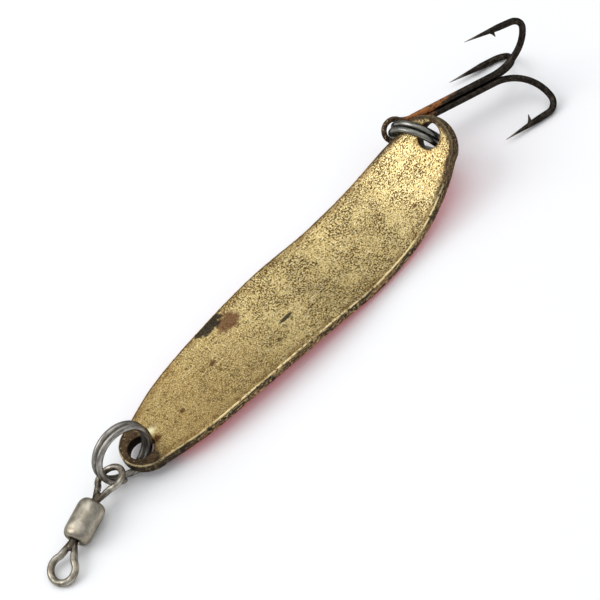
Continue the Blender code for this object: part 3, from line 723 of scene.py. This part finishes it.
class BladeFinish(Finish):
    """Worn gold above with some painted highlights and shade, dark patina at the ends and on the side wall,
    painted shade in the holes, fluorescent red paint below.

    x runs along the blade from the nose tip, y across it, and z from the lower face (0) to the upper one.
    """

    def __init__(self):
        super().__init__("worn_gold_and_red_paint")
        edges = self.add("ShaderNodeAttribute", attribute_name="edges").outputs["Vector"]
        self.to_rim, self.to_hole, _ = self.add("ShaderNodeSeparateXYZ", {0: edges}).outputs
        self.grain = self.noise(3.0, 3, 0.6, shift=1.0)
        self.fine = self.noise(4.6, 2, 0.5, shift=7.0)
        self.ragged = self.sway(4.0, 0.9, 4, shift=17.0)
        self.station = self.plus(self.x, self.ragged)

    def gold(self):
        """The plating, darker towards the nose and paler from the middle on as painted shade, with broad
        tarnish and bright grain.
        """
        # Painted shade: the plating is darker towards the nose, which turns away from the light, and paler
        # from the middle on.
        gold = self.mix(self.fade(self.x, 16.0, 46.0), srgb(172, 144, 88), srgb(216, 190, 126))
        gold = self.mix(self.fade(self.x, 56.0, 74.0, 0.0, 0.6), gold, srgb(184, 164, 114))
        tarnish = self.patches(0.42, 0.62, 0.10, 3, shift=4.0, bend=0.6)
        blotches = self.patches(0.52, 0.70, 0.45, 4, shift=9.0)
        gold = self.coat(gold, srgb(168, 134, 76), tarnish, 0.4)
        gold = self.coat(gold, srgb(150, 120, 72), blotches, 0.35)
        return self.coat(gold, srgb(255, 236, 176), self.fade(self.fine, 0.50, 0.60),
                         self.fade(self.x, 12.0, 44.0, 0.45, 0.8))

    def speckled(self, gold):
        """Dark specks and bright flecks, denser towards the tail, then worm-like marks and pits."""
        crowd = self.fade(self.noise(0.22, 3, shift=14.0), 0.38, 0.62, 0.025, -0.05)
        density = self.plus(self.grain, crowd, self.fade(self.x, 10.0, 45.0, -0.02, 0.015))
        self.specks = self.fade(density, 0.528, 0.565)
        gold = self.coat(gold, srgb(84, 57, 20), self.specks, self.fade(self.x, 8.0, 45.0, 0.42, 0.92))
        flecks = self.patches(0.60, 0.64, 2.6, 2, 0.6, shift=71.0)
        gold = self.coat(gold, srgb(255, 244, 200), flecks, self.fade(self.x, 10.0, 44.0, 0.25, 0.75))
        contour = self.math("ABSOLUTE", self.sway(1.0, 1.0, 3, 0.6, shift=61.0, bend=0.5))
        worms = self.times(self.fade(contour, 0.03, 0.010), self.patches(0.46, 0.52, 0.6, 2, shift=63.0))
        gold = self.coat(gold, srgb(70, 50, 24), worms, 0.7)
        self.pits = self.patches(0.665, 0.70, 1.15, 2, shift=21.0)
        return self.coat(gold, srgb(72, 48, 26), self.pits, 0.7)

    def scratched(self, gold):
        """Dark scratches two ways and bright ones a third way."""
        self.dark_lines = self.most(
            self.patches(0.70, 0.735, 0.9, 2, stretch=(0.14, 2.6, 1), turn=0.5, shift=3.0),
            self.patches(0.71, 0.745, 0.9, 2, stretch=(2.4, 0.12, 1), turn=0.25, shift=8.0),
        )
        bright_lines = self.patches(0.70, 0.73, 0.8, 2, stretch=(0.16, 3.4, 1), turn=-0.6, shift=31.0)
        gold = self.coat(gold, srgb(80, 54, 24), self.dark_lines, 0.75)
        return self.coat(gold, srgb(248, 232, 184), bright_lines, 0.55)

    def edged(self, gold):
        """Darker brown bands in from the rim and the holes, tarnish mixed with painted shade, and a painted
        shade line along the left rim.
        """
        # Tarnish mixed with painted shade: darker brown in patches in from the rim and round the holes.
        rim = self.times(self.fade(self.to_rim, 2.1, 0.5), self.patches(0.36, 0.60, 0.5, 4, 0.6, shift=51.0))
        hole = self.times(self.fade(self.to_hole, 1.5, 0.2), self.patches(0.36, 0.56, 0.9, 4, shift=53.0))
        gold = self.coat(gold, srgb(112, 78, 40), self.most(rim, hole), 0.6)
        # Painted shade: a dark line along the left rim only, where the rounded edge turns away from the
        # light.
        painted_shade_left_rim = self.times(self.fade(self.to_rim, 0.55, 0.34), self.fade(self.y, -2.0, 3.0))
        return self.coat(gold, srgb(74, 52, 30), painted_shade_left_rim, 0.75)

    def stains_and_painted_glint(self, gold):
        """The single marks: a painted highlight as a glint and a blot by the nose ring, and the stains
        further back.
        """
        # Painted highlight: a bright glint beside the nose ring.
        gold = self.coat(gold, srgb(255, 246, 196), self.spot((7.0, 1.0), (0.9, 0.6), 0.9, 1.0), 0.9)
        gold = self.coat(gold, srgb(78, 44, 22), self.spot((6.6, -1.2), (1.0, 0.7), 0.8, 1.2), 0.9)
        brown = self.spot((31.9, 6.3), (2.4, 1.7), 0.35, 0.7)
        small = self.most(
            self.spot((23.8, 2.0), (0.7, 0.5), 0.4),
            self.spot((13.5, -0.8), (0.55, 0.5), 0.4),
            self.spot((71.0, -4.8), (0.55, 0.5), 0.4),
            self.spot((34.6, -4.6), (0.5, 0.4), 0.4),
        )
        black = self.most(
            self.spot((28.9, 8.7), (3.1, 1.7), 0.16),
            self.spot((38.9, -1.8), (1.7, 0.42), 0.25, 0.35),
        )
        self.big_stains = self.most(black, brown)
        gold = self.coat(gold, srgb(104, 62, 38), brown, 0.85)
        gold = self.coat(gold, srgb(84, 52, 32), small, 0.8)
        return self.coat(gold, srgb(36, 31, 26), black, 0.92)

    def with_patina(self, gold):
        """Dark brown patina with a few glints, round the nose hole and along the tail's rim."""
        nose = self.fade(self.plus(self.station, self.times(self.y, -0.15)), 6.6, 4.4)
        tip = self.fade(self.station, BLADE_LENGTH - 1.9, BLADE_LENGTH - 0.6)
        from_rim = self.plus(self.math("SUBTRACT", 1.6, self.to_rim), self.times(self.ragged, 0.4))
        tail_rim = self.times(self.fade(from_rim, 0.2, 1.2), self.fade(self.x, 70.0, 77.0), 0.95)
        self.ends = self.most(nose, tip, tail_rim)
        patina = self.mix(self.patches(0.35, 0.65, 1.0, 4, shift=27.0), srgb(40, 30, 23), srgb(82, 63, 44))
        patina = self.coat(patina, srgb(190, 158, 112), self.patches(0.60, 0.68, 2.4, 3, 0.6, shift=5.0), 0.6)
        patina = self.mix(self.fade(self.x, 60.0, 76.0, 0.0, 0.45), patina, srgb(40, 26, 16))
        return self.coat(gold, patina, self.ends, 0.95)

    def wall(self):
        """The side wall: mottled brown and gold, darker at both ends, and nearly black in the holes as
        painted shade.
        """
        tone = self.patches(0.42, 0.60, 0.55, 4, 0.6, stretch=(0.6, 1, 1.6), shift=12.0)
        glints = self.patches(0.52, 0.60, 2.6, 3, 0.6, stretch=(0.6, 1, 1.3), shift=2.0)
        soot = self.patches(0.53, 0.58, 1.7, 3, stretch=(0.7, 1, 1.4), shift=23.0)
        wall = self.mix(tone, srgb(60, 46, 33), srgb(140, 112, 74))
        wall = self.coat(wall, srgb(214, 188, 134), glints, 0.85)
        wall = self.coat(wall, srgb(28, 21, 16), soot, 0.9)
        wall = self.mix(self.fade(self.station, 17.0, 8.0, 0.0, 0.75), wall, srgb(30, 23, 18))
        wall = self.mix(self.fade(self.station, 66.0, 80.0, 0.0, 0.6), wall, srgb(44, 30, 20))
        # Painted shade: the hole walls are nearly black, as they lie in shadow.
        return self.mix(self.fade(self.to_hole, 0.5, 0.2, 0.0, 0.94), wall, srgb(22, 16, 13))

    def burnish_and_painted_highlight(self, lip):
        """The bright line on the rim's upper corner, a painted highlight over some burnished wear, weak at
        the nose and almost gone at the tail.
        """
        along = self.times(self.fade(self.x, 7.0, 18.0, 0.5, 1.0), self.fade(self.x, 79.0, 72.0, 0.12, 1.0))
        corner = self.times(self.fade(lip, 1.80, 1.92), self.fade(self.z, 2.098, 2.06))
        off_holes = self.fade(self.to_hole, 0.4, 0.8)
        long_gaps = self.patches(0.3, 0.5, 0.3, 3, shift=6.0)
        short_gaps = self.patches(0.34, 0.48, 1.4, 3, shift=66.0)
        return self.times(along, corner, off_holes, long_gaps, short_gaps)

    def paint(self):
        """The red paint's colour, paler and darker in patches."""
        paint = self.mix(self.noise(0.3, 3, shift=45.0), srgb(236, 36, 62), srgb(246, 70, 84))
        dirt = self.fade(self.noise(1.6, 4, shift=47.0), 0.55, 0.7, 0.0, 0.35)
        return self.mix(dirt, paint, srgb(176, 22, 42))

    def make(self):
        top = self.with_patina(self.stains_and_painted_glint(self.edged(self.scratched(self.speckled(self.gold())))))
        ripple = self.sway(0.35, 0.8, 3, shift=19.0)
        lip = self.plus(self.z, self.times(ripple, 0.35))
        is_top = self.fade(lip, 1.93, 2.02)
        metal = self.mix(is_top, self.wall(), top)
        # Painted highlight over some burnished wear: the bright line along the rim's upper corner.
        metal = self.coat(metal, srgb(252, 232, 176), self.burnish_and_painted_highlight(lip), 0.95)

        chips = self.times(self.patches(0.60, 0.63, 0.7, 5, 0.7, shift=41.0), 0.9)
        painted = self.times(self.fade(self.plus(self.z, ripple), 0.30, 0.14), self.rest_of(chips),
                             self.fade(self.station, 6.0, 9.0))
        colour = self.mix(painted, metal, self.paint())

        marks = self.times(self.most(self.ends, self.big_stains), is_top)
        dull = self.most(marks, self.rest_of(is_top))
        metallic = self.times(self.rest_of(painted), self.fade(dull, 0.0, 1.0, 1.0, 0.55))
        rough = self.plus(self.fade(self.grain, 0.35, 0.65, 0.36, 0.50), self.times(dull, 0.1))
        rough = self.times(rough, self.fade(painted, 0.0, 1.0, 1.0, 0.62))
        cuts = self.times(self.most(self.pits, self.dark_lines), -0.8)
        swell = self.times(self.noise(0.9, 3, shift=33.0), 0.8)
        relief = self.plus(self.times(self.specks, -0.45), cuts, self.times(self.fine, 0.35), swell)
        relief = self.times(relief, self.fade(painted, 0.0, 1.0, 1.0, 0.35))
        relief = self.plus(relief, self.times(painted, 0.6))
        return self.finish(colour, metallic, rough, relief, 0.035, Specular_Tint=GOLD_EDGE_TINT)


def steel_finish(name, colours, roughness, depth=0.015, neck=False):
    """Dull plated steel: fine grain, darker tarnish in patches, and on an eye a dark neck by the barrel."""
    light, dark, warm = colours
    m = Finish(name)
    tarnish = m.noise(0.5, 4, 0.6, shift=3.0)
    grain = m.noise(3.2, 3, 0.6, shift=11.0)
    colour = m.mix(m.fade(tarnish, 0.36, 0.62), light, dark)
    colour = m.coat(colour, warm, m.patches(0.50, 0.68, 0.35, 3, shift=19.0), 0.6)
    colour = m.coat(colour, dark, m.fade(grain, 0.58, 0.68), 0.5)
    colour = m.coat(colour, light, m.fade(grain, 0.42, 0.34), 0.4)
    if neck:
        along = m.plus(m.x, m.fade(tarnish, 0.3, 0.7, -0.9, 0.9))
        colour = m.coat(colour, srgb(62, 53, 42), m.fade(along, 6.6, 5.2), 0.8)
    rough = m.fade(m.noise(1.2, 4, shift=23.0), 0.3, 0.7, roughness - 0.07, roughness + 0.12)
    height = m.plus(m.times(grain, 0.6), m.times(m.noise(0.9, 3, shift=7.0), 0.8))
    return m.finish(colour, 1.0, rough, height, depth, Specular_Tint=EDGE_TINT)


def hook_finish():
    """Blackened bronze wire, worn grey at the points, with painted glints on the eye, and rusted along the
    first part of the shank.
    """
    m = Finish("blackened_bronze_with_rust")
    tone = m.noise(0.8, 4, 0.6, shift=5.0)
    fine = m.noise(3.6, 4, 0.65, shift=13.0)
    colour = m.mix(m.fade(tone, 0.38, 0.62), srgb(33, 30, 27), srgb(58, 52, 46))
    colour = m.coat(colour, srgb(134, 116, 92), m.fade(fine, 0.58, 0.68), 0.6)
    colour = m.coat(colour, srgb(34, 28, 24), m.patches(0.56, 0.64, 1.6, 3, shift=29.0), 0.7)

    # The rust keeps to the shank's upper left side and to the wire near the axis.
    ragged = m.sway(9.0, 0.55, 4, shift=31.0)
    up_left = m.plus(m.times(m.y, 0.526), m.times(m.z, 0.85))
    off_axis = m.math("SQRT", m.plus(m.times(m.y, m.y), m.times(m.z, m.z)))
    reach = m.plus(m.x, ragged, m.times(up_left, -4.0))
    rusted = m.times(m.fade(reach, 9.5, 6.0), m.fade(off_axis, 3.8, 3.0))
    rust = m.mix(m.noise(1.1, 4, shift=37.0), srgb(120, 72, 40), srgb(186, 124, 70))
    rust = m.coat(rust, srgb(58, 38, 26), m.patches(0.50, 0.58, 1.5, 4, shift=43.0), 0.8)
    rust = m.coat(rust, srgb(222, 186, 128), m.fade(fine, 0.60, 0.70), 0.6)
    eye = m.fade(m.plus(m.x, m.times(ragged, 0.2)), 3.4, 1.8)
    colour = m.coat(colour, rust, rusted, m.fade(eye, 0.0, 1.0, 0.95, 0.12))
    # Painted highlight: bright gold glints on the dark eye.
    colour = m.coat(colour, srgb(206, 178, 122), eye, m.fade(fine, 0.56, 0.64), 0.75)

    worn = m.times(m.fade(m.x, 20.4, 18.6), m.fade(off_axis, 6.0, 8.0))
    colour = m.coat(colour, srgb(146, 138, 126), worn, 0.55)
    metallic = m.fade(rusted, 0.0, 1.0, 0.9, 0.45)
    rough = m.plus(m.fade(tone, 0.3, 0.7, 0.30, 0.46), m.times(rusted, 0.16))
    height = m.plus(m.times(fine, 0.7), m.times(m.noise(1.3, 4, shift=3.0), 0.9))
    return m.finish(colour, metallic, rough, height, 0.05, Specular_Tint=EDGE_TINT)


def braze_finish():
    m = Finish("tarnished_braze")
    colour = m.mix(m.noise(1.2, 4, shift=3.0), srgb(96, 62, 36), srgb(196, 142, 84))
    colour = m.coat(colour, srgb(58, 38, 26), m.patches(0.54, 0.62, 3.0, 3, shift=9.0), 0.7)
    rough = m.fade(m.noise(2.0, 3, shift=5.0), 0.3, 0.7, 0.38, 0.6)
    return m.finish(colour, 0.7, rough, m.noise(1.6, 4, shift=15.0), 0.07)


# ---------------------------------------------------------------- assembly

def put_rings():
    steel = steel_finish("dull_nickel_plate", NOSE_RING_STEEL, 0.34)
    place = facing(NOSE_RING_CENTRE, NOSE_RING_NORMAL, (-1, 0, 0))
    coil = split_ring_mesh(NOSE_RING_START)
    put(coil, "nose_ring_coil", "nose_split_ring", "nose_ring", place, steel)

    steel = steel_finish("dull_nickel_plate_tail", TAIL_RING_STEEL, 0.30)
    place = facing(TAIL_RING_CENTRE, TAIL_RING_NORMAL, (0, 1, 0))
    coil = split_ring_mesh(TAIL_RING_START)
    put(coil, "tail_ring_coil", "tail_split_ring", "tail_ring", place, steel)


def put_swivel():
    wire = steel_finish("tarnished_nickel_wire", EYE_NICKEL, 0.32, neck=True)
    outward = unit(SWIVEL_AXIS)
    place = placed(SWIVEL_CENTRE, -outward, RING_EYE_UP)
    eye = swivel_eye_mesh(RING_EYE_REACH, RING_EYE_LEAN, RING_EYE_DROP, RING_EYE_WIRE)
    put(eye, "swivel_eye_on_ring", "swivel_ring_eye", "swivel_ring_eye", place, wire)

    nickel = steel_finish("satin_nickel", BARREL_NICKEL, 0.36, 0.02)
    place = placed(SWIVEL_CENTRE, outward, (0, 0, 1))
    put(barrel_mesh(), "swivel_body", "swivel_barrel", "swivel_barrel", place, nickel)
    eye = swivel_eye_mesh(LINE_EYE_REACH, LINE_EYE_LEAN, LINE_EYE_DROP, LINE_EYE_WIRE)
    put(eye, "swivel_eye_for_line", "swivel_line_eye", "swivel_line_eye", place, wire)


def put_hook():
    level = math.cos(HOOK_PITCH)
    shank = (math.cos(HOOK_YAW) * level, math.sin(HOOK_YAW) * level, math.sin(HOOK_PITCH))
    place = placed(HOOK_EYE, shank, (0, 0, 1))
    bronze = hook_finish()
    put(double_hook_mesh(), "hook_pair", "hook_double", "treble_hook", place, bronze)
    put(single_hook_mesh(), "hook_third", "hook_single", "treble_hook", place, bronze)
    put(braze_mesh(), "hook_braze_bead", "hook_braze", "treble_hook", place, braze_finish())


def build_lure():
    place = from_axes((0, 0, 0), (1, 0, 0), (0, 1, 0), (0, 0, 1))
    put(blade_mesh(), "worn_blade", "spoon_blade", "blade", place, BladeFinish().make())
    put_rings()
    put_swivel()
    put_hook()


# ---------------------------------------------------------------- studio

# The camera, in millimetres in the row frame.
CAMERA_TARGET = (-1.622, -1.418, 3.0)
CAMERA_RIGHT = (0.679, -0.688, -0.253)
CAMERA_UP = (0.664, 0.43, 0.613)
CAMERA_BACK = (-0.313, -0.584, 0.748)
CAMERA_DISTANCE = 400.0
CAMERA_LENS = 133.92
CAMERA_SENSOR = 36.0
CAMERA_SHIFT = (0.01533, 0.00817)

# The floor and the lights, in metres and watts.
FLOOR_HALF = 2.0
FLOOR_COLOUR = (0.945, 0.945, 0.95, 1)
KEY_PLACE = (-0.82, 0.75, 1.0)
KEY_SIZE = 1.1
KEY_POWER = 9.5
TOP_PLACE = (0.35, 0.1, 1.5)
TOP_SIZE = 1.0
TOP_POWER = 3.2
# The surroundings, as (height of the direction, colour): dim at the horizon and bright overhead.
SKY = ((0.02, (0.30, 0.31, 0.33, 1)), (0.75, (0.96, 0.98, 1.0, 1)))
SKY_STRENGTH = 0.85


def squared(rows):
    """The nearest set of exactly square unit axes."""
    left, _, right = np.linalg.svd(np.array(rows, float))
    return left @ right


def build_camera():
    right, up, back = squared((CAMERA_RIGHT, CAMERA_UP, CAMERA_BACK))
    data = bpy.data.cameras.new("camera")
    data.lens = CAMERA_LENS
    data.sensor_width = CAMERA_SENSOR
    data.shift_x, data.shift_y = CAMERA_SHIFT
    data.clip_start = 0.01
    data.clip_end = 20.0
    camera = linked("camera", data)
    matrix = Matrix([[right[i], up[i], back[i], 0] for i in range(3)] + [[0, 0, 0, 1]])
    matrix.translation = (Vector(CAMERA_TARGET) + Vector(back) * CAMERA_DISTANCE) * MM
    camera.matrix_world = matrix
    bpy.context.scene.camera = camera


def build_floor():
    corners = [(x * FLOOR_HALF, y * FLOOR_HALF, 0) for x, y in ((-1, -1), (1, -1), (1, 1), (-1, 1))]
    mesh = bpy.data.meshes.new("floor")
    mesh.from_pydata(corners, [], [(0, 1, 2, 3)])
    floor = linked("floor", mesh)
    finish = bpy.data.materials.new("floor_white")
    finish.use_nodes = True
    shader = finish.node_tree.nodes["Principled BSDF"]
    shader.inputs["Base Color"].default_value = FLOOR_COLOUR
    shader.inputs["Roughness"].default_value = 0.7
    shader.inputs["Specular IOR Level"].default_value = 0.2
    mesh.materials.append(finish)


def soft_light(name, place, size, power):
    """A square soft box that faces the lure."""
    data = bpy.data.lights.new(name, "AREA")
    data.shape = "SQUARE"
    data.size = size
    data.energy = power
    light = linked(name, data)
    light.location = place
    light.rotation_mode = "QUATERNION"
    light.rotation_quaternion = Vector(place).to_track_quat("Z", "Y")


def build_sky():
    world = bpy.data.worlds.new("studio")
    world.use_nodes = True
    tree = world.node_tree
    direction = tree.nodes.new("ShaderNodeTexCoord")
    height = tree.nodes.new("ShaderNodeSeparateXYZ")
    sky = tree.nodes.new("ShaderNodeValToRGB")
    tree.links.new(direction.outputs["Generated"], height.inputs[0])
    tree.links.new(height.outputs["Z"], sky.inputs["Fac"])
    for element, (position, colour) in zip(sky.color_ramp.elements, SKY):
        element.position = position
        element.color = colour
    background = tree.nodes["Background"]
    tree.links.new(sky.outputs["Color"], background.inputs["Color"])
    background.inputs["Strength"].default_value = SKY_STRENGTH
    bpy.context.scene.world = world
    bpy.context.scene.view_settings.view_transform = "Standard"


build_lure()
build_camera()
build_floor()
soft_light("key", KEY_PLACE, KEY_SIZE, KEY_POWER)
soft_light("top", TOP_PLACE, TOP_SIZE, TOP_POWER)
build_sky()
